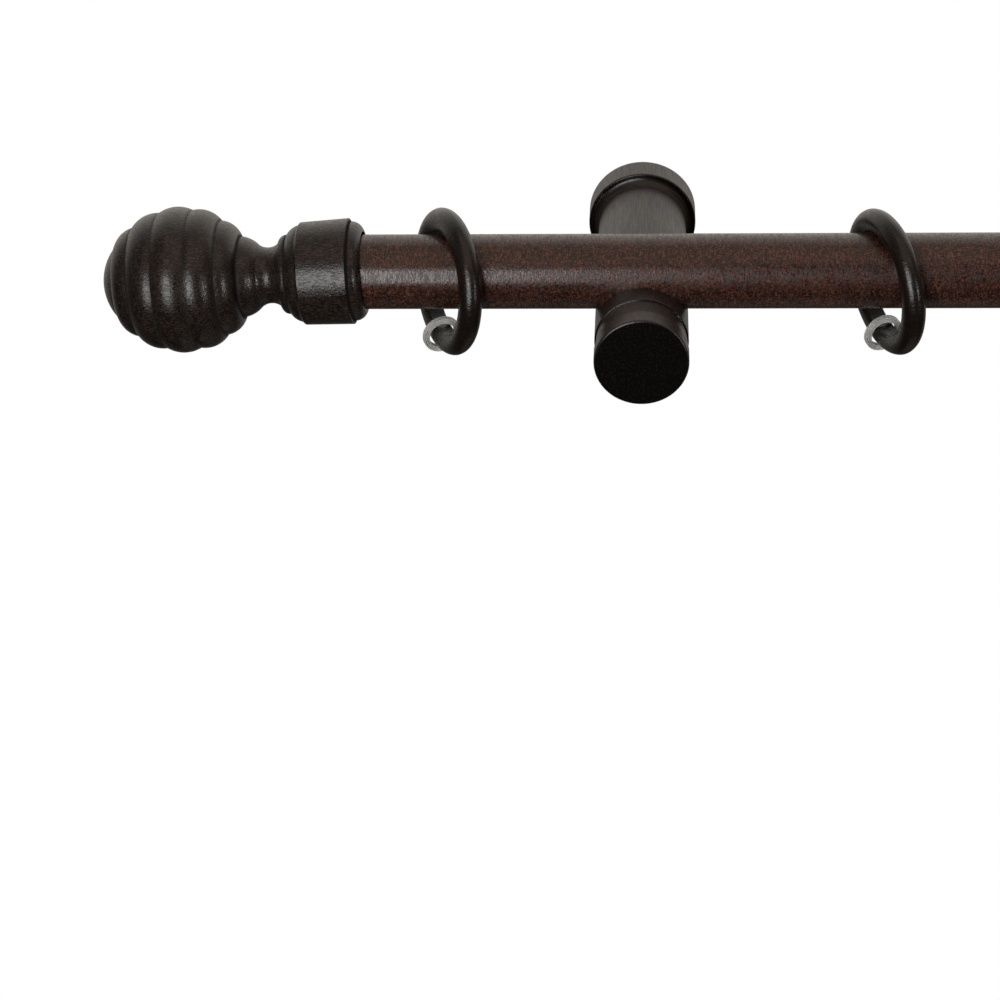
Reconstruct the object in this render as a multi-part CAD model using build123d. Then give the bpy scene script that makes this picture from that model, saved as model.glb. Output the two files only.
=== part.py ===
from build123d import *
from math import asin, atan2, cos, degrees, pi, radians, sin, sqrt
import os

# Wooden curtain rod: a round pole held in two turned barrel brackets, closed by two ribbed ball
# finials, with turned rings that run along it. Millimetres. The origin lies in the wall plane,
# midway between the two wall bolts: +X along the pole, +Y into the wall, +Z up.

# Pole
pole_diameter = 28.0
pole_length = 1200.0
pole_end_chamfer = 1.0

# Finial: stations along its axis are lengths from the collar's mouth, then radii
socket_depth = 22.0
socket_clearance = 0.65
socket_touch_gap = 0.06
mouth_lip = 0.35
shoulder_length = 3.9
shoulder_diameter = 37.3
shoulder_fullness = 0.17
collar_groove_width = 1.2
collar_groove_depth = 0.35
collar_length = 18.2
collar_mouth_diameter = 39.8
collar_neck_diameter = 38.6
collar_chamfer = 1.1
ovolo_length = 4.2
ovolo_foot_diameter = 30.3
ovolo_fullness = 0.105
bead_length = 3.3
bead_diameter = 29.8
bead_fullness = 0.22
bead_foot_step = 0.2
neck_step_diameter = 24.6
neck_diameter = 21.1
neck_cove_length = 8.0
neck_waist_place = 5.0
neck_swell_start_diameter = 23.4
neck_swell_length = 6.8
neck_swell_fullness = 0.09

# Ball of the finial, neck to tip: each groove's place as a share of the half length and its depth as
# a share of the radius, then how far each rib swells as a share of its width
ball_diameter = 55.2
ball_length = 58.7
groove_places = (-0.811, -0.566, -0.211, 0.215, 0.57, 0.811)
groove_depths = (0.446, 0.217, 0.058, 0.072, 0.25, 0.489)
rib_fullness = (0.165, 0.16, 0.144, 0.145, 0.15)

# Bracket: lengths run from the wall along the arm
bracket_inset = 104.0
arm_diameter = 35.0
pole_projection_length = 90.0
arm_overhang_length = 39.5
base_diameter = 43.0
base_thickness = 12.0
base_edge_radius = 0.7
base_cove_radius = 3.2
nose_length = 7.5
nose_edge_radius = 0.9
nose_cove_length = 9.0
nose_cove_depth = 0.6
saddle_clearance = 0.1

# Threaded insert in the back of the bracket, for an M8 wall bolt
insert_diameter = 12.0
insert_length = 18.0
insert_thread_bore = 6.8
insert_hole_clearance = 0.05
bolt_room_length = 6.0

# Screw from below that holds the pole down in the saddle
screw_diameter = 4.0
screw_grip_in_pole = 8.0
screw_point_length = 3.0
screw_head_diameter = 7.6
screw_head_height = 2.6
screw_head_chamfer = 1.1
screw_slot_width = 1.1
screw_slot_length = 4.2
screw_slot_depth = 1.3
screw_hole_clearance = 0.1
counterbore_diameter = 9.0
counterbore_depth = 5.0

# Rings: each hangs on the pole, turned about the vertical and leaning sideways, in degrees
ring_bore_diameter = 39.5
ring_outer_diameter = 55.8
ring_width = 8.6
ring_bore_width = 6.0
ring_side_height = 3.6
ring_hang_gap = 0.3
ring_drop_steps = 180
end_ring_inset = 31.0
second_ring_inset = 194.9
ring_turns = (24.9, 21.0, 22.0, 19.0, 23.5, 20.5, 22.5, 21.0)
ring_leans = (5.5, -4.5, 2.0, -2.0, 3.0, -1.5, 2.5, -3.0)

# Loop of clear line wound round each ring, a little behind its lowest point
line_diameter = 0.8
line_turns_across = 3
line_layers = 3
loop_gap = 0.15
loop_slack = 0.8
loop_angle_behind = 8.0

# Places that follow from the sizes above
pole_radius = pole_diameter / 2
arm_radius = arm_diameter / 2
pole_y = -pole_projection_length
pole_z = arm_radius
mouth_x = pole_length / 2 - socket_depth
droop = degrees(asin(2 * (socket_clearance - socket_touch_gap) / socket_depth))
bracket_x = mouth_x - bracket_inset
ring_bore_radius = ring_bore_diameter / 2
ring_outer_radius = ring_outer_diameter / 2
SIDES = {"left": -1, "right": 1}


def bulged(start, end, fullness):
    """An arc from start to end that swells to the left of its chord by this share of the chord."""
    (x0, y0), (x1, y1) = start, end
    middle = ((x0 + x1) / 2 - fullness * (y1 - y0), (y0 + y1) / 2 + fullness * (x1 - x0))
    return ThreePointArc(start, middle, end)


def turned(edges):
    """The solid that a closed outline in XY makes when it is turned about the X axis."""
    return revolve(make_face(edges), Axis.X)


def make_pole():
    pole = Rot(0, 90, 0) * Cylinder(pole_radius, pole_length)
    pole = chamfer(pole.edges().filter_by(GeomType.CIRCLE), pole_end_chamfer)
    pole = Pos(0, pole_y, pole_z) * pole
    pilot_radius = screw_diameter / 2 + screw_hole_clearance
    pilot_depth = screw_grip_in_pole + screw_hole_clearance
    for side in SIDES.values():
        pilot = Cylinder(pilot_radius, 2 * pilot_depth)
        pole -= Pos(side * bracket_x, pole_y, pole_z - pole_radius) * pilot
    return pole


def make_finial():
    """The finial along +X from the middle of its mouth, with the socket cut in it."""
    socket_radius = pole_radius + socket_clearance
    mouth = (0, socket_radius + mouth_lip)
    shoulder = (shoulder_length, shoulder_diameter / 2)
    groove = (shoulder_length + collar_groove_width / 2, shoulder_diameter / 2 - collar_groove_depth)
    collar_start = (shoulder_length + collar_groove_width, collar_mouth_diameter / 2)
    collar_end = (collar_start[0] + collar_length, collar_neck_diameter / 2)
    ovolo_start = (collar_end[0] + collar_chamfer, collar_neck_diameter / 2 - collar_chamfer)
    ovolo_end = (ovolo_start[0] + ovolo_length, ovolo_foot_diameter / 2)
    bead_start = (ovolo_end[0], bead_diameter / 2)
    bead_end = (bead_start[0] + bead_length, neck_step_diameter / 2 + bead_foot_step)
    cove_start = (bead_end[0], neck_step_diameter / 2)
    cove_middle = (cove_start[0] + neck_waist_place, neck_diameter / 2)
    cove_end = (cove_start[0] + neck_cove_length, neck_swell_start_diameter / 2)
    half_ball = ball_length / 2
    ball_radius = ball_diameter / 2
    ball_centre = cove_end[0] + neck_swell_length - groove_places[0] * half_ball
    grooves = [
        (ball_centre + place * half_ball, ball_radius * (1 - depth))
        for place, depth in zip(groove_places, groove_depths)
    ]
    tip = (ball_centre + half_ball, 0)
    floor = socket_depth + pole_radius * sin(radians(droop))
    dome_depth = tip[0] - grooves[-1][0]
    dome_radius = (grooves[-1][1] ** 2 + dome_depth ** 2) / (2 * dome_depth)
    dome_angle = atan2(grooves[-1][1], dome_radius - dome_depth) / 2
    dome_middle = (tip[0] - dome_radius * (1 - cos(dome_angle)), dome_radius * sin(dome_angle))

    edges = [
        bulged(mouth, shoulder, shoulder_fullness),
        Polyline(shoulder, groove, collar_start, collar_end, ovolo_start),
        bulged(ovolo_start, ovolo_end, ovolo_fullness),
        Line(ovolo_end, bead_start),
        bulged(bead_start, bead_end, bead_fullness),
        Line(bead_end, cove_start),
        ThreePointArc(cove_start, cove_middle, cove_end),
        bulged(cove_end, grooves[0], neck_swell_fullness),
        *map(bulged, grooves, grooves[1:], rib_fullness),
        ThreePointArc(grooves[-1], dome_middle, tip),
        Polyline(tip, (floor, 0), (floor, socket_radius), (0, socket_radius), mouth),
    ]
    return turned(edges)


def place_finial(finial, side):
    """Pushed over the pole's end, drooping as far as the loose socket lets it."""
    pivot = Pos(side * (mouth_x + socket_depth / 2), pole_y, pole_z)
    turn = Rot(0, 0, 0 if side > 0 else 180)
    return pivot * turn * Rot(0, droop, 0) * Pos(-socket_depth / 2, 0, 0) * finial


def make_bracket():
    """The bracket on the Y axis, with its base on the wall plane."""
    length = pole_projection_length + arm_overhang_length
    base_radius = base_diameter / 2
    cove_start = length - nose_length - nose_cove_length
    cove_end = length - nose_length
    base_round = fillet_corner((base_thickness, base_radius), base_edge_radius)
    nose_round = fillet_corner((length, arm_radius), nose_edge_radius)
    cove_foot = (base_thickness, arm_radius + base_cove_radius)
    cove_middle = (
        base_thickness + base_cove_radius * (1 - sqrt(0.5)),
        arm_radius + base_cove_radius * (1 - sqrt(0.5)),
    )
    cove_top = (base_thickness + base_cove_radius, arm_radius)
    nose_step = (cove_start, arm_radius - nose_cove_depth)
    nose_middle = ((cove_start + cove_end) / 2, arm_radius - 0.75 * nose_cove_depth)
    edges = [
        Polyline((length, 0), (0, 0), (0, base_radius), base_round[0]),
        ThreePointArc(*base_round),
        Line(base_round[2], cove_foot),
        ThreePointArc(cove_foot, cove_middle, cove_top),
        Polyline(cove_top, (cove_start, arm_radius), nose_step),
        ThreePointArc(nose_step, nose_middle, (cove_end, arm_radius)),
        Line((cove_end, arm_radius), nose_round[0]),
        ThreePointArc(*nose_round),
        Line(nose_round[2], (length, 0)),
    ]
    arm = Rot(0, 0, -90) * turned(edges)
    saddle = Rot(0, 90, 0) * Cylinder(pole_radius + saddle_clearance, base_diameter + arm_diameter)
    arm -= Pos(0, pole_y, pole_z) * saddle
    hole_depth = insert_length + bolt_room_length
    insert_hole = Cylinder(insert_diameter / 2 + insert_hole_clearance, 2 * hole_depth)
    arm -= Rot(90, 0, 0) * insert_hole
    screw_hole = Cylinder(screw_diameter / 2 + screw_hole_clearance, arm_diameter)
    counterbore = Cylinder(counterbore_diameter / 2, 2 * counterbore_depth)
    arm -= Pos(0, pole_y, 0) * screw_hole
    arm -= Pos(0, pole_y, -arm_radius) * counterbore
    return arm


def fillet_corner(corner, radius):
    """Start, middle and end of the arc that rounds an outer corner of a turned outline."""
    x, y = corner
    middle = radius * (1 - sqrt(0.5))
    return (x - radius, y), (x - middle, y - middle), (x, y - radius)


def make_insert():
    sleeve = Cylinder(insert_diameter / 2, insert_length) - Cylinder(insert_thread_bore / 2, insert_length)
    return Pos(0, -insert_length / 2, 0) * Rot(90, 0, 0) * sleeve


def make_lock_screw():
    """The screw on the Z axis, with the seat of its head at the origin."""
    saddle_floor = pole_z - pole_radius
    shank_length = saddle_floor + screw_grip_in_pole - (counterbore_depth - arm_radius)
    head_radius = screw_head_diameter / 2
    shank_radius = screw_diameter / 2
    outline = Polyline(
        (-screw_head_height, 0),
        (-screw_head_height, head_radius - screw_head_chamfer),
        (screw_head_chamfer - screw_head_height, head_radius),
        (0, head_radius),
        (0, shank_radius),
        (shank_length - screw_point_length, shank_radius),
        (shank_length, 0),
        (-screw_head_height, 0),
    )
    screw = Rot(0, -90, 0) * turned([outline])
    for turn in (0, 90):
        slot = Box(screw_slot_length, screw_slot_width, 2 * screw_slot_depth)
        screw -= Pos(0, 0, -screw_head_height) * Rot(0, 0, turn) * slot
    return screw


def make_ring():
    """The ring about the X axis, flat in its bore, round at its sides, with a soft outer ridge."""
    half_width = ring_width / 2
    half_bore = ring_bore_width / 2
    side_radius = ring_bore_radius + ring_side_height
    edges = []
    for hand in (1, -1):
        bore_edge = (hand * half_bore, ring_bore_radius)
        side = (hand * half_width, side_radius)
        ridge = (0, ring_outer_radius)
        edges.append(TangentArc(side, bore_edge, tangent=(0, -1)))
        edges.append(TangentArc(side, ridge, tangent=(0, 1)))
    edges.append(Line((-half_bore, ring_bore_radius), (half_bore, ring_bore_radius)))
    return turned(edges)


def ring_pose(turn, lean):
    return Rot(0, 0, turn) * Rot(0, lean, 0)


def ring_drop(turn, lean):
    """Height of the ring's middle against the pole's axis, where its bore's edges clear the pole."""
    reach = pole_radius + ring_hang_gap
    pose = ring_pose(turn, lean)
    drop = -ring_outer_radius
    for edge in (-ring_bore_width / 2, ring_bore_width / 2):
        for step in range(ring_drop_steps + 1):
            angle = pi * step / ring_drop_steps
            y = ring_bore_radius * cos(angle)
            z = ring_bore_radius * sin(angle)
            point = (pose * Pos(edge, y, z)).position
            if abs(point.Y) < reach:
                drop = max(drop, sqrt(reach ** 2 - point.Y ** 2) - point.Z)
    return drop


def ring_places():
    """Places of the rings along the pole: two near each end, the others evenly between them."""
    count = len(ring_turns)
    first = -mouth_x + end_ring_inset
    second = -mouth_x + second_ring_inset
    step = -2 * second / (count - 3)
    return [first] + [second + step * index for index in range(count - 2)] + [-first]


def loop_hang():
    """How far outside the ring's bore the loop's middle hangs, clear of the ring's sides and ridge."""
    half_bore = ring_bore_width / 2
    depth = ring_outer_radius - ring_bore_radius + loop_slack
    over_ridge = (depth ** 2 - half_bore ** 2) / (2 * depth)
    past_sides = ((ring_width / 2) ** 2 + ring_side_height ** 2 - half_bore ** 2) / (2 * ring_side_height)
    return max(over_ridge, past_sides)


def make_loop():
    """The wound line as one solid about the Z axis, as wide and as deep as its turns lie together."""
    depth = line_diameter * line_layers
    width = line_diameter * line_turns_across
    bore_radius = loop_gap + sqrt(loop_hang() ** 2 + (ring_bore_width / 2) ** 2)
    middle = bore_radius + depth / 2
    strands = RectangleRounded(depth, width, line_diameter / 2)
    return revolve(Plane.XZ * Pos(middle, 0) * strands, Axis.Z)


def place_loop(loop):
    """Hung on the bore of the ring that stands on the X axis, behind its lowest point."""
    behind = radians(loop_angle_behind)
    outward = Vector(0, sin(behind), -cos(behind))
    along = Vector(0, cos(behind), sin(behind))
    centre = outward * (ring_bore_radius + loop_hang())
    return Plane(origin=centre, x_dir=(1, 0, 0), z_dir=along).location * loop


def build():
    parts = {"pole": make_pole()}
    finial = make_finial()
    bracket = make_bracket()
    insert = make_insert()
    screw = make_lock_screw()
    for name, side in SIDES.items():
        at_bracket = Pos(side * bracket_x, 0, 0)
        screw_seat = Pos(side * bracket_x, pole_y, counterbore_depth - arm_radius)
        parts["finial_" + name] = place_finial(finial, side)
        parts["bracket_" + name] = at_bracket * bracket
        parts["insert_" + name] = at_bracket * insert
        parts["lock_screw_" + name] = screw_seat * screw
    ring = make_ring()
    loop = place_loop(make_loop())
    for index, place in enumerate(ring_places()):
        turn = ring_turns[index]
        lean = ring_leans[index]
        hung = Pos(place, pole_y, pole_z + ring_drop(turn, lean)) * ring_pose(turn, lean)
        parts["ring_" + str(index + 1)] = hung * ring
        parts["loop_" + str(index + 1)] = hung * loop
    return parts


if __name__ == "__main__":
    os.makedirs("parts", exist_ok=True)
    for name, solid in build().items():
        export_step(solid, "parts/" + name + ".step")
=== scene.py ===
"""Looks of a wooden curtain rod: pole, ribbed finials, barrel brackets, rings and their line loops."""

import math

import bmesh
import bpy
from bpy.props import FloatProperty, FloatVectorProperty, IntProperty, PointerProperty
from bpy.types import Operator, Panel, PropertyGroup
from mathutils import Matrix, Vector


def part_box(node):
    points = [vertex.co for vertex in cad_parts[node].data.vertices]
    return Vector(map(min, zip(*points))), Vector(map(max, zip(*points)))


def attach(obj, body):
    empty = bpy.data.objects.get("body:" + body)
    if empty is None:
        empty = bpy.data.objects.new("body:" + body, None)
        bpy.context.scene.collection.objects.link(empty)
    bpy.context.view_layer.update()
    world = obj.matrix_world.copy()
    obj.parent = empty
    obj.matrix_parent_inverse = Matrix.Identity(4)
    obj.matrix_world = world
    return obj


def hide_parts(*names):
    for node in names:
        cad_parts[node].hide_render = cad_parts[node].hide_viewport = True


bl_info = {
    "name": "Wooden curtain rod",
    "version": (1, 0, 0),
    "blender": (4, 5, 0),
    "location": "3D View > Sidebar > Rod",
    "description": "Dresses the packed curtain rod with stained wood, brass, steel and clear line",
    "category": "Object",
}

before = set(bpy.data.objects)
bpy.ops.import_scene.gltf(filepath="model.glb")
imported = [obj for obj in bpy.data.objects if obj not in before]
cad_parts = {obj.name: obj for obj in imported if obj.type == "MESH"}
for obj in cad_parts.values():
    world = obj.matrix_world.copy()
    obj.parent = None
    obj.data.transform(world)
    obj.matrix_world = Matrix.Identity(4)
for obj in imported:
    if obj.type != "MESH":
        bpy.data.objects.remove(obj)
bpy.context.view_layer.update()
pole_low, pole_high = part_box("pole")

MM = 0.001
SIDES = ("left", "right")
# How each ring hangs, in degrees: turned about the vertical, then leaning sideways
RING_TURNS = (24.9, 21.0, 22.0, 19.0, 23.5, 20.5, 22.5, 21.0)
RING_LEANS = (5.5, -4.5, 2.0, -2.0, 3.0, -1.5, 2.5, -3.0)
RING_COUNT = len(RING_TURNS)
# Where the line sits on a ring, in degrees behind the ring's lowest point
LOOP_ANGLE_BEHIND = 8.0
# A strand of line: its points, how finely its section is rounded, and its radius and sway as shares
# of the line's diameter
STRAND_POINTS = 72
STRAND_ROUNDING = 3
STRAND_RADIUS = 0.46
STRAND_SWAY = 0.04
# How far the sway is shifted from each layer and each turn to the next, in radians
LAYER_SHIFT = 1.7
TURN_SHIFT = 2.3

WELD_DISTANCE = 0.01 * MM
SHARP_EDGE = math.radians(30)

SENSOR_MM = 36.0
# The points of the rod that the lamps are aimed at
NEAR_END = (-0.60, -0.09, 0.02)
ROD_MIDDLE = (0.0, -0.09, 0.0)
FLOOR_HALF_WIDTH = 0.8
WHITE = (1.0, 1.0, 1.0, 1.0)
# How bright the white behind the rod is when it is seen through the line
SEEN_THROUGH_LINE = 0.6

# Sockets of the Mix node, which have the same names for numbers and colours and so go by their place
MIX_SHARE = 0
FIRST_NUMBER = 2
SECOND_NUMBER = 3
FIRST_COLOUR = 6
SECOND_COLOUR = 7
MIXED_NUMBER = 0
MIXED_COLOUR = 2


def linear(hex_colour):
    """An sRGB hex colour as linear red, green and blue."""
    channels = [int(hex_colour[place:place + 2], 16) / 255 for place in (0, 2, 4)]
    return tuple(c / 12.92 if c <= 0.04045 else ((c + 0.055) / 1.055) ** 2.4 for c in channels)


def colour_property(name, description, hex_colour):
    return FloatVectorProperty(
        name=name,
        description=description,
        default=linear(hex_colour),
        subtype="COLOR",
        size=3,
        min=0.0,
        max=1.0,
    )


def length_property(name, description, metres):
    return FloatProperty(name=name, description=description, default=metres, min=0.0, unit="LENGTH")


def count_property(name, description, count, least=1):
    return IntProperty(name=name, description=description, default=count, min=least)


def angle_property(name, description, degrees):
    return FloatProperty(
        name=name, description=description, default=math.radians(degrees), subtype="ANGLE"
    )


def power_property(name, description, watts):
    return FloatProperty(name=name, description=description, default=watts, min=0.0, unit="POWER")


class RodSizes(PropertyGroup):
    """Sizes of the pieces that are built here, in metres."""

    pole_diameter: length_property("Pole diameter", "Across the round pole", pole_high.z - pole_low.z)
    pole_length: length_property("Pole length", "End to end, inside the finials", pole_high.x - pole_low.x)
    pole_chamfer: length_property("End chamfer", "Bevel round each end of the pole", 1.0 * MM)
    pole_sides: count_property("Pole facets", "Facets round the pole", 192, least=24)
    line_diameter: length_property("Line diameter", "Across one strand of the clear line", 0.8 * MM)
    line_turns: count_property("Turns across", "Strands side by side", 3)
    line_layers: count_property("Layers", "Strands above each other", 3)
    loop_bore: length_property("Loop bore", "Across the inside of a wound loop", 10.26 * MM)


class RodColours(PropertyGroup):
    """Colours of the stain, the metals and the line."""

    pole_main: colour_property("Pole", "Warm walnut stain on the pole", "48281f")
    pole_deep: colour_property("Pole, deep", "Where the stain went in deeper", "130a08")
    pole_fleck: colour_property("Pole, fleck", "Paler ray flecks of the beech", "7d5243")
    turned_main: colour_property("Finial", "Dark walnut stain on the finials", "251a17")
    # The finials' deep colour is also painted into their grooves as shade, by the ambient occlusion mask
    turned_deep: colour_property("Finial, deep", "Darker grain and grooves of the finials", "0b0807")
    turned_fleck: colour_property("Finial, fleck", "Paler flecks of the finials", "4f423c")
    bracket_main: colour_property("Bracket", "Dark stain on the brackets", "2f2420")
    bracket_deep: colour_property("Bracket, deep", "Darker grain of the brackets", "15100e")
    bracket_fleck: colour_property("Bracket, fleck", "Paler flecks of the brackets", "4f4038")
    ring_main: colour_property("Ring", "Nearly black stain on the rings", "211814")
    ring_deep: colour_property("Ring, deep", "Darker grain of the rings", "0a0807")
    ring_fleck: colour_property("Ring, fleck", "Paler flecks of the rings", "33271f")
    end_grain: colour_property("End grain", "Where the open pores drank the stain", "0b0908")
    brass: colour_property("Brass", "Threaded inserts", "c9a45c")
    steel: colour_property("Steel", "Zinc plated screws", "b9bcc0")
    nylon: colour_property("Nylon", "Clear line", "e8e7e2")


class RodStage(PropertyGroup):
    """Camera, light and floor."""

    camera_place: FloatVectorProperty(
        name="Camera place",
        description="Where the camera stands",
        default=(-0.4723, -0.8971, 0.4241),
        subtype="TRANSLATION",
        unit="LENGTH",
    )
    camera_heading: angle_property("Heading", "To the right of straight at the wall", -4.1)
    camera_dip: angle_property("Dip", "Below the horizon", 32.12)
    camera_roll: angle_property("Roll", "About the line of sight", -1.99)
    camera_lens: FloatProperty(
        name="Focal length", description="On a 36 mm sensor", default=86.4, min=1.0, unit="CAMERA"
    )
    front_light: power_property("Front light", "Softbox in front, to the left", 12.4)
    side_light: power_property("Side light", "Tall narrow softbox far to the right", 10.0)
    top_light: power_property("Top light", "Wide softbox overhead", 5.0)
    top_colour: colour_property("Top colour", "Warm tint of the light overhead", "ffe2d0")
    studio_colour: colour_property("Studio", "Slightly warm white of the walls", "fffaf2")
    floor_drop: length_property("Floor drop", "From the wall bolts down to the floor", 2.2)
    floor_colour: colour_property("Floor", "Grey floor", "8e8e8c")


def add(tree, kind, inputs=None, **settings):
    """Adds a node, sets its own settings, then links or fills its inputs."""
    made = tree.nodes.new(kind)
    for name, value in settings.items():
        setattr(made, name, value)
    for name, value in (inputs or {}).items():
        socket = made.inputs[name]
        if isinstance(value, bpy.types.NodeSocket):
            tree.links.new(value, socket)
        else:
            socket.default_value = value
    return made


def opaque(colour):
    return (*colour, 1.0)


def new_material(name):
    material = bpy.data.materials.new(name)
    material.use_nodes = True
    material.node_tree.nodes.clear()
    return material, material.node_tree


def by_axis(axis, along, across):
    """Three numbers, one for each axis: one value along the grain, another across it."""
    return tuple(along if index == axis else across for index in range(3))


def stained_wood(
    name,
    main,
    deep,
    fleck,
    end,
    axis,
    roughness,
    contrast,
    fleck_mm,
    line_mm,
    relief_mm,
    gloss,
    edge_mm,
    groove_mm=0.0,
):
    """Beech turned on a lathe, stained and lacquered satin: fine flecks and pores, faint tool and
    sanding lines, darker end grain, painted shade in the grooves where ambient occlusion finds them
    hollow, and a soft wide sheen."""
    material, tree = new_material(name)
    place = add(tree, "ShaderNodeTexCoord").outputs["Object"]
    normal = add(tree, "ShaderNodeNewGeometry").outputs["Normal"]

    # Growth bands, blotches of stain, ray flecks, pores, tool lines and the pebbled skin of the lacquer:
    # millimetres along the grain and across it, detail, and how rough the detail is. Real pores are
    # finer than 0.4 mm, and are drawn this coarse so that they show
    patterns = {
        "bands": (90.0, 6.0, 3.0, 0.5),
        "blotches": (14.0, 5.0, 2.0, 0.5),
        "flecks": (*fleck_mm, 3.0, 0.7),
        "pores": (1.2, 0.4, 2.0, 0.6),
        "lines": (*line_mm, 2.0, 0.6),
        "pebbles": (0.8, 0.8, 2.0, 0.5),
    }
    grain = {}
    for pattern, (along_mm, across_mm, detail, detail_roughness) in patterns.items():
        scale = by_axis(axis, 1 / (along_mm * MM), 1 / (across_mm * MM))
        spread = add(tree, "ShaderNodeMapping", {"Vector": place, "Scale": scale})
        noise = add(
            tree,
            "ShaderNodeTexNoise",
            {
                "Vector": spread.outputs["Vector"],
                "Scale": 1.0,
                "Detail": detail,
                "Roughness": detail_roughness,
            },
        )
        grain[pattern] = noise.outputs["Fac"]

    facing = add(
        tree,
        "ShaderNodeVectorMath",
        {0: normal, 1: by_axis(axis, 1.0, 0.0)},
        operation="DOT_PRODUCT",
    )
    square_on = add(tree, "ShaderNodeMath", {0: facing.outputs["Value"]}, operation="ABSOLUTE")

    # What each ramp reads, from where to where, and what it gives at its two ends
    smoothest = roughness - 0.07 * contrast
    dullest = roughness + 0.18 * contrast
    ramps = {
        "bands": (grain["bands"], 0.35, 0.7, 0.0, 0.6),
        "blotches": (grain["blotches"], 0.42, 0.66, 0.0, 0.2),
        "flecks": (grain["flecks"], 0.42, 0.64, 0.0, contrast),
        "pores": (grain["pores"], 0.48, 0.6, 0.0, contrast),
        "lines": (grain["lines"], 0.47, 0.6, 0.0, 0.8 * contrast),
        "end_specks": (grain["pebbles"], 0.5, 0.7, 0.0, 0.14),
        "end": (square_on.outputs["Value"], 0.8, 0.97, 0.0, 1.0),
        "sheen": (grain["lines"], 0.42, 0.6, smoothest, dullest),
    }
    # Painted shade: ambient occlusion finds the hollows of the grooves, and their colour is darkened there
    if groove_mm:
        groove_occlusion = add(
            tree,
            "ShaderNodeAmbientOcclusion",
            {"Distance": groove_mm * MM},
            samples=8,
            only_local=True,
        )
        ramps["groove"] = (groove_occlusion.outputs["AO"], 0.82, 0.98, 1.0, 0.0)
    share = {}
    for use, (value, low, high, at_low, at_high) in ramps.items():
        ramp = add(
            tree,
            "ShaderNodeMapRange",
            {"Value": value, "From Min": low, "From Max": high, "To Min": at_low, "To Max": at_high},
            interpolation_type="SMOOTHSTEP",
        )
        share[use] = ramp.outputs["Result"]

    colour = opaque(main)
    layers = {"bands": deep, "blotches": fleck, "flecks": fleck, "pores": deep, "lines": deep}
    for use, tint in layers.items():
        stained = add(
            tree,
            "ShaderNodeMix",
            {MIX_SHARE: share[use], FIRST_COLOUR: colour, SECOND_COLOUR: opaque(tint)},
            data_type="RGBA",
        )
        colour = stained.outputs[MIXED_COLOUR]

    # End grain drinks the stain and is polished; a groove is painted in shade, its colour darkened where
    # ambient occlusion finds it hollow, and its lacquer is left dull
    speckled_end = add(
        tree,
        "ShaderNodeMix",
        {MIX_SHARE: share["end_specks"], FIRST_COLOUR: opaque(end), SECOND_COLOUR: opaque(fleck)},
        data_type="RGBA",
    )
    sheen = share["sheen"]
    finishes = {"end": (speckled_end.outputs[MIXED_COLOUR], 0.2)}
    # The groove's painted shade in the deep colour, and its dull lacquer
    if groove_mm:
        finishes["groove"] = (opaque(deep), 0.95)
    for use, (tint, local_roughness) in finishes.items():
        stained = add(
            tree,
            "ShaderNodeMix",
            {MIX_SHARE: share[use], FIRST_COLOUR: colour, SECOND_COLOUR: tint},
            data_type="RGBA",
        )
        colour = stained.outputs[MIXED_COLOUR]
        polished = add(
            tree,
            "ShaderNodeMix",
            {MIX_SHARE: share[use], FIRST_NUMBER: sheen, SECOND_NUMBER: local_roughness},
            data_type="FLOAT",
        )
        sheen = polished.outputs[MIXED_NUMBER]

    # Tool lines and pores are cut into the pebbled skin, each to a share of its height
    height = grain["pebbles"]
    for pattern, depth in (("lines", 0.4), ("pores", 0.3)):
        cut = add(
            tree, "ShaderNodeMath", {0: grain[pattern], 1: -depth, 2: height}, operation="MULTIPLY_ADD"
        )
        height = cut.outputs["Value"]
    rounded = add(tree, "ShaderNodeBevel", {"Radius": edge_mm * MM}, samples=6)
    bump = add(
        tree,
        "ShaderNodeBump",
        {
            "Height": height,
            "Strength": 1.0,
            "Distance": relief_mm * MM,
            "Normal": rounded.outputs["Normal"],
        },
    )
    shader = add(
        tree,
        "ShaderNodeBsdfPrincipled",
        {
            "Base Color": colour,
            "Roughness": sheen,
            "IOR": 1.5,
            "Specular IOR Level": gloss,
            "Normal": bump.outputs["Normal"],
        },
    )
    add(tree, "ShaderNodeOutputMaterial", {"Surface": shader.outputs["BSDF"]})
    return material


def turned_metal(name, colour, roughness, mark_mm):
    """Metal turned on an automatic lathe: bright, with fine marks left by the tool."""
    material, tree = new_material(name)
    place = add(tree, "ShaderNodeTexCoord").outputs["Object"]
    marks = add(
        tree,
        "ShaderNodeTexNoise",
        {"Vector": place, "Scale": 1 / (mark_mm * MM), "Detail": 2.0},
    )
    worn = add(
        tree,
        "ShaderNodeMapRange",
        {
            "Value": marks.outputs["Fac"],
            "From Min": 0.3,
            "From Max": 0.7,
            "To Min": roughness - 0.08,
            "To Max": roughness + 0.1,
        },
    )
    bump = add(
        tree,
        "ShaderNodeBump",
        {"Height": marks.outputs["Fac"], "Strength": 0.15, "Distance": 0.05 * MM},
    )
    shader = add(
        tree,
        "ShaderNodeBsdfPrincipled",
        {
            "Base Color": opaque(colour),
            "Metallic": 1.0,
            "Roughness": worn.outputs["Result"],
            "Normal": bump.outputs["Normal"],
        },
    )
    add(tree, "ShaderNodeOutputMaterial", {"Surface": shader.outputs["BSDF"]})
    return material


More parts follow.
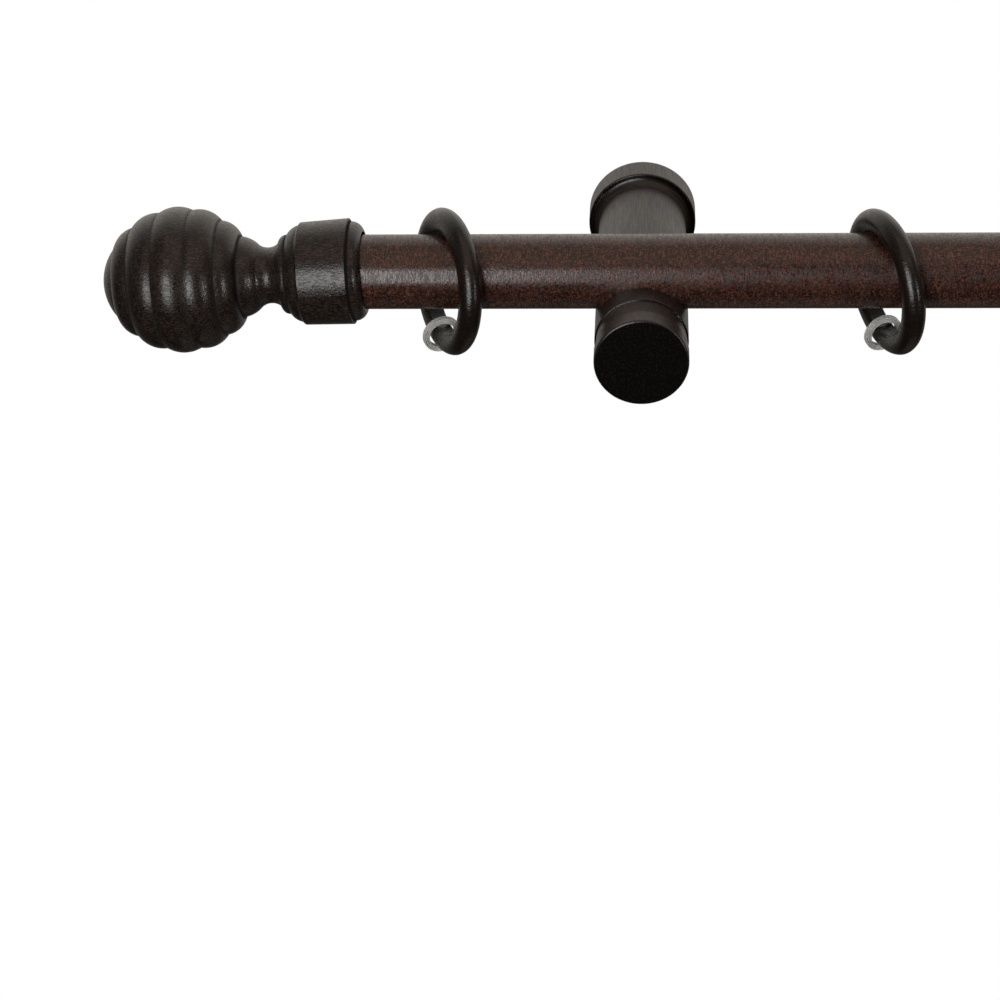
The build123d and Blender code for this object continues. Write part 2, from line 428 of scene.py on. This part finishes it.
def clear_nylon(name, colour, wave_mm):
    """Drawn nylon line: milky clear and smooth, with small waves left by the spool it came from."""
    material, tree = new_material(name)
    place = add(tree, "ShaderNodeTexCoord").outputs["Object"]
    waves = add(
        tree,
        "ShaderNodeTexNoise",
        {"Vector": place, "Scale": 1 / (wave_mm * MM), "Detail": 1.0},
    )
    bump = add(
        tree,
        "ShaderNodeBump",
        {"Height": waves.outputs["Fac"], "Strength": 0.1, "Distance": 0.02 * MM},
    )
    shader = add(
        tree,
        "ShaderNodeBsdfPrincipled",
        {
            "Base Color": opaque(colour),
            "Roughness": 0.12,
            "IOR": 1.53,
            "Transmission Weight": 0.3,
            "Normal": bump.outputs["Normal"],
        },
    )
    add(tree, "ShaderNodeOutputMaterial", {"Surface": shader.outputs["BSDF"]})
    return material


def dress(node_names, material):
    """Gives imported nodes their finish, in place of the plain one they came with."""
    for name in node_names:
        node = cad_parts[name]
        node.data.materials.clear()
        node.data.materials.append(material)


def show(name, mesh, material, body, replaced):
    """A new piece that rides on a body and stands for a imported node."""
    piece = bpy.data.objects.new(name, mesh)
    bpy.context.scene.collection.objects.link(piece)
    mesh.materials.append(material)
    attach(piece, body)
    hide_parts(replaced)


class ROD_OT_pole(Operator):
    """Turn the round pole with its bevelled ends"""

    bl_idname = "rod.pole"
    bl_label = "Pole"

    def execute(self, context):
        sizes = context.scene.rod_sizes
        colours = context.scene.rod_colours
        radius = sizes.pole_diameter / 2
        half = sizes.pole_length / 2
        chamfer = sizes.pole_chamfer
        stations = [
            (-half, 0.0),
            (-half, radius - chamfer),
            (chamfer - half, radius),
            (half - chamfer, radius),
            (half, radius - chamfer),
            (half, 0.0),
        ]
        form = bmesh.new()
        points = [form.verts.new((x, r, 0.0)) for x, r in stations]
        outline = [form.edges.new(pair) for pair in zip(points, points[1:])]
        bmesh.ops.spin(
            form,
            geom=points + outline,
            cent=(0.0, 0.0, 0.0),
            axis=(1.0, 0.0, 0.0),
            angle=2 * math.pi,
            steps=sizes.pole_sides,
        )
        bmesh.ops.remove_doubles(form, verts=form.verts, dist=WELD_DISTANCE)
        bmesh.ops.recalc_face_normals(form, faces=form.faces)
        bmesh.ops.translate(form, verts=form.verts, vec=(pole_low + pole_high) / 2)
        mesh = bpy.data.meshes.new("pole_turned")
        form.to_mesh(mesh)
        form.free()
        mesh.shade_smooth()
        mesh.set_sharp_from_angle(angle=SHARP_EDGE)
        wood = stained_wood(
            "walnut_stained_beech_pole",
            colours.pole_main,
            colours.pole_deep,
            colours.pole_fleck,
            colours.end_grain,
            axis=0,
            roughness=0.24,
            contrast=0.9,
            fleck_mm=(0.5, 1.1),
            line_mm=(0.5, 2.5),
            relief_mm=0.055,
            gloss=0.65,
            edge_mm=0.4,
        )
        show("pole_turned", mesh, wood, body="rod", replaced="pole")
        return {"FINISHED"}


class ROD_OT_finials(Operator):
    """Stain and lacquer the ribbed finials"""

    bl_idname = "rod.finials"
    bl_label = "Finials"

    def execute(self, context):
        colours = context.scene.rod_colours
        wood = stained_wood(
            "walnut_stained_beech_turned",
            colours.turned_main,
            colours.turned_deep,
            colours.turned_fleck,
            colours.end_grain,
            axis=0,
            roughness=0.23,
            contrast=0.9,
            fleck_mm=(2.5, 0.4),
            line_mm=(2.0, 0.45),
            relief_mm=0.1,
            gloss=0.52,
            edge_mm=0.15,
            # Painted shade in the grooves, from ambient occlusion reaching 1.6 mm
            groove_mm=1.6,
        )
        dress(["finial_" + side for side in SIDES], wood)
        return {"FINISHED"}


class ROD_OT_brackets(Operator):
    """Stain and lacquer the barrel brackets"""

    bl_idname = "rod.brackets"
    bl_label = "Brackets"

    def execute(self, context):
        colours = context.scene.rod_colours
        wood = stained_wood(
            "walnut_stained_beech_bracket",
            colours.bracket_main,
            colours.bracket_deep,
            colours.bracket_fleck,
            colours.end_grain,
            axis=1,
            roughness=0.39,
            contrast=0.35,
            fleck_mm=(6.0, 0.45),
            line_mm=(9.0, 0.5),
            relief_mm=0.035,
            gloss=0.6,
            edge_mm=0.5,
        )
        dress(["bracket_" + side for side in SIDES], wood)
        return {"FINISHED"}


class ROD_OT_fixings(Operator):
    """Finish the threaded inserts and the screws under the pole"""

    bl_idname = "rod.fixings"
    bl_label = "Fixings"

    def execute(self, context):
        colours = context.scene.rod_colours
        brass = turned_metal("turned_brass", colours.brass, roughness=0.3, mark_mm=0.4)
        steel = turned_metal("zinc_plated_steel", colours.steel, roughness=0.34, mark_mm=0.5)
        dress(["insert_" + side for side in SIDES], brass)
        dress(["lock_screw_" + side for side in SIDES], steel)
        return {"FINISHED"}


class ROD_OT_rings(Operator):
    """Stain and lacquer the rings"""

    bl_idname = "rod.rings"
    bl_label = "Rings"

    def execute(self, context):
        colours = context.scene.rod_colours
        wood = stained_wood(
            "walnut_stained_beech_ring",
            colours.ring_main,
            colours.ring_deep,
            colours.ring_fleck,
            colours.ring_deep,
            axis=2,
            roughness=0.24,
            contrast=0.5,
            fleck_mm=(3.0, 0.4),
            line_mm=(0.8, 5.0),
            relief_mm=0.08,
            gloss=0.6,
            edge_mm=0.4,
        )
        dress(["ring_" + str(number) for number in range(1, RING_COUNT + 1)], wood)
        return {"FINISHED"}


def wound_line(name, sizes, place, cross, outward):
    """Turns of line round a ring's section: a closed strand for each turn and layer."""
    curve = bpy.data.curves.new(name, "CURVE")
    curve.dimensions = "3D"
    curve.bevel_depth = STRAND_RADIUS * sizes.line_diameter
    curve.bevel_resolution = STRAND_ROUNDING
    along = outward.cross(cross)
    for layer in range(sizes.line_layers):
        for turn in range(sizes.line_turns):
            radius = sizes.loop_bore / 2 + sizes.line_diameter * (layer + 0.5)
            offset = sizes.line_diameter * (turn - (sizes.line_turns - 1) / 2)
            shift = LAYER_SHIFT * layer + TURN_SHIFT * turn
            strand = curve.splines.new("POLY")
            strand.points.add(STRAND_POINTS - 1)
            strand.use_cyclic_u = True
            strand.use_smooth = True
            for index, point in enumerate(strand.points):
                angle = 2 * math.pi * index / STRAND_POINTS
                sway = STRAND_SWAY * sizes.line_diameter * math.sin(2 * angle + shift)
                reach = cross * math.cos(angle) + outward * math.sin(angle)
                point.co = (*(place + reach * (radius + sway) + along * (offset + sway)), 1.0)
    return curve


class ROD_OT_loops(Operator):
    """Wind the clear line round each ring"""

    bl_idname = "rod.loops"
    bl_label = "Line loops"

    def execute(self, context):
        sizes = context.scene.rod_sizes
        nylon = clear_nylon("clear_nylon_line", context.scene.rod_colours.nylon, wave_mm=1.5)
        behind = math.radians(LOOP_ANGLE_BEHIND)
        for number, (turn, lean) in enumerate(zip(RING_TURNS, RING_LEANS), start=1):
            turned = Matrix.Rotation(math.radians(turn), 3, "Z")
            leaning = Matrix.Rotation(math.radians(lean), 3, "Y")
            pose = turned @ leaning
            cross = pose @ Vector((1.0, 0.0, 0.0))
            outward = pose @ Vector((0.0, math.sin(behind), -math.cos(behind)))
            low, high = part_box("loop_" + str(number))
            curve = wound_line("line_" + str(number), sizes, (low + high) / 2, cross, outward)
            show(
                "line_" + str(number),
                curve,
                nylon,
                body="ring_" + str(number),
                replaced="loop_" + str(number),
            )
        return {"FINISHED"}


def softbox(name, place, target, width, height, power):
    """A lamp with a wide white front, aimed at a point."""
    lamp = bpy.data.lights.new(name, "AREA")
    lamp.shape = "RECTANGLE"
    lamp.size = width
    lamp.size_y = height
    lamp.energy = power
    shown = bpy.data.objects.new(name, lamp)
    shown.location = place
    shown.rotation_euler = (Vector(target) - Vector(place)).to_track_quat("-Z", "Y").to_euler()
    bpy.context.scene.collection.objects.link(shown)
    return lamp


class ROD_OT_stage(Operator):
    """Set up the floor, the light and the camera"""

    bl_idname = "rod.stage"
    bl_label = "Stage"

    def execute(self, context):
        scene = context.scene
        stage = scene.rod_stage
        scene.view_settings.view_transform = "Standard"
        self.make_floor(scene, stage)
        self.make_world(scene, stage)
        self.make_lights(stage)
        self.make_camera(scene, stage)
        return {"FINISHED"}

    def make_floor(self, scene, stage):
        """A grey floor, seen white, and not there at all from below."""
        form = bmesh.new()
        bmesh.ops.create_grid(form, x_segments=1, y_segments=1, size=FLOOR_HALF_WIDTH)
        mesh = bpy.data.meshes.new("floor")
        form.to_mesh(mesh)
        form.free()
        floor = bpy.data.objects.new("floor", mesh)
        floor.location = (0.0, 0.0, -stage.floor_drop)
        scene.collection.objects.link(floor)
        material, tree = new_material("grey_floor")
        path = add(tree, "ShaderNodeLightPath")
        seen = add(
            tree,
            "ShaderNodeMath",
            {0: path.outputs["Is Camera Ray"], 1: path.outputs["Is Transmission Ray"]},
            operation="MAXIMUM",
        )
        paint = add(tree, "ShaderNodeBsdfDiffuse", {"Color": opaque(stage.floor_colour)})
        white = add(tree, "ShaderNodeEmission", {"Color": WHITE, "Strength": 1.0})
        plain = add(
            tree,
            "ShaderNodeMixShader",
            {0: seen.outputs["Value"], 1: paint.outputs["BSDF"], 2: white.outputs["Emission"]},
        )
        clear = add(tree, "ShaderNodeBsdfTransparent")
        behind = add(tree, "ShaderNodeNewGeometry").outputs["Backfacing"]
        front = add(
            tree,
            "ShaderNodeMixShader",
            {0: behind, 1: plain.outputs["Shader"], 2: clear.outputs["BSDF"]},
        )
        add(tree, "ShaderNodeOutputMaterial", {"Surface": front.outputs["Shader"]})
        mesh.materials.append(material)

    def make_world(self, scene, stage):
        """A white studio: bright behind and above, dim in front and below; the camera sees plain white."""
        world = bpy.data.worlds.new("white_studio")
        world.use_nodes = True
        tree = world.node_tree
        tree.nodes.clear()
        toward = add(tree, "ShaderNodeTexCoord").outputs["Generated"]
        directions = add(tree, "ShaderNodeSeparateXYZ", {"Vector": toward})
        # The direction that each part brightens in, from where to where, and its brightness there
        parts = {
            "ceiling": ("Z", -0.3, 0.7, 0.01, 0.08),
            "backdrop": ("Y", 0.0, 0.9, 0.0, 0.88),
            "upper_half": ("Z", -1.0, 0.3, 0.0, 1.0),
        }
        bright = {}
        for part, (direction, low, high, at_low, at_high) in parts.items():
            ramp = add(
                tree,
                "ShaderNodeMapRange",
                {
                    "Value": directions.outputs[direction],
                    "From Min": low,
                    "From Max": high,
                    "To Min": at_low,
                    "To Max": at_high,
                },
                interpolation_type="SMOOTHSTEP",
            )
            bright[part] = ramp.outputs["Result"]
        glow = add(
            tree,
            "ShaderNodeMath",
            {0: bright["backdrop"], 1: bright["upper_half"], 2: bright["ceiling"]},
            operation="MULTIPLY_ADD",
        )
        studio = add(
            tree,
            "ShaderNodeBackground",
            {"Color": opaque(stage.studio_colour), "Strength": glow.outputs["Value"]},
        )
        white = add(tree, "ShaderNodeBackground", {"Color": WHITE, "Strength": 1.0})
        pale = add(tree, "ShaderNodeBackground", {"Color": WHITE, "Strength": SEEN_THROUGH_LINE})
        path = add(tree, "ShaderNodeLightPath")
        through = add(
            tree,
            "ShaderNodeMixShader",
            {
                0: path.outputs["Is Transmission Ray"],
                1: studio.outputs["Background"],
                2: pale.outputs["Background"],
            },
        )
        both = add(
            tree,
            "ShaderNodeMixShader",
            {
                0: path.outputs["Is Camera Ray"],
                1: through.outputs["Shader"],
                2: white.outputs["Background"],
            },
        )
        add(tree, "ShaderNodeOutputWorld", {"Surface": both.outputs["Shader"]})
        scene.world = world

    def make_lights(self, stage):
        """Two upright softboxes in front, and a wide warm one overhead."""
        softbox(
            "front_softbox",
            place=(-0.98, -1.60, 0.32),
            target=NEAR_END,
            width=0.72,
            height=1.15,
            power=stage.front_light,
        )
        softbox(
            "right_softbox",
            place=(1.55, -1.80, 0.20),
            target=NEAR_END,
            width=0.22,
            height=0.90,
            power=stage.side_light,
        )
        top = softbox(
            "top_softbox",
            place=(0.0, -0.55, 1.50),
            target=ROD_MIDDLE,
            width=2.4,
            height=1.6,
            power=stage.top_light,
        )
        top.color = stage.top_colour

    def make_camera(self, scene, stage):
        """A long lens, looking down at the near end of the rod."""
        lens = bpy.data.cameras.new("camera")
        lens.lens = stage.camera_lens
        lens.sensor_width = SENSOR_MM
        camera = bpy.data.objects.new("camera", lens)
        heading = Matrix.Rotation(-stage.camera_heading, 4, "Z")
        dip = Matrix.Rotation(math.pi / 2 - stage.camera_dip, 4, "X")
        roll = Matrix.Rotation(stage.camera_roll, 4, "Z")
        camera.matrix_world = Matrix.Translation(stage.camera_place) @ heading @ dip @ roll
        scene.collection.objects.link(camera)
        scene.camera = camera


class ROD_PT_panel(Panel):
    """Sizes, colours and build steps of the curtain rod"""

    bl_idname = "ROD_PT_panel"
    bl_label = "Curtain rod"
    bl_space_type = "VIEW_3D"
    bl_region_type = "UI"
    bl_category = "Rod"

    def draw(self, context):
        column = self.layout.column()
        for step in STEPS:
            column.operator(step.bl_idname)
        for settings in (context.scene.rod_sizes, context.scene.rod_colours, context.scene.rod_stage):
            box = self.layout.box()
            for name in settings.__annotations__:
                box.prop(settings, name)


SETTINGS = (RodSizes, RodColours, RodStage)
STEPS = (
    ROD_OT_pole,
    ROD_OT_finials,
    ROD_OT_brackets,
    ROD_OT_fixings,
    ROD_OT_rings,
    ROD_OT_loops,
    ROD_OT_stage,
)


def register():
    for made in (*SETTINGS, *STEPS, ROD_PT_panel):
        bpy.utils.register_class(made)
    bpy.types.Scene.rod_sizes = PointerProperty(type=RodSizes)
    bpy.types.Scene.rod_colours = PointerProperty(type=RodColours)
    bpy.types.Scene.rod_stage = PointerProperty(type=RodStage)


def unregister():
    del bpy.types.Scene.rod_stage
    del bpy.types.Scene.rod_colours
    del bpy.types.Scene.rod_sizes
    for made in reversed((*SETTINGS, *STEPS, ROD_PT_panel)):
        bpy.utils.unregister_class(made)


def main():
    register()
    bpy.ops.rod.pole()
    bpy.ops.rod.finials()
    bpy.ops.rod.brackets()
    bpy.ops.rod.fixings()
    bpy.ops.rod.rings()
    bpy.ops.rod.loops()
    bpy.ops.rod.stage()
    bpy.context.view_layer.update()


if __name__ == "__main__":
    main()
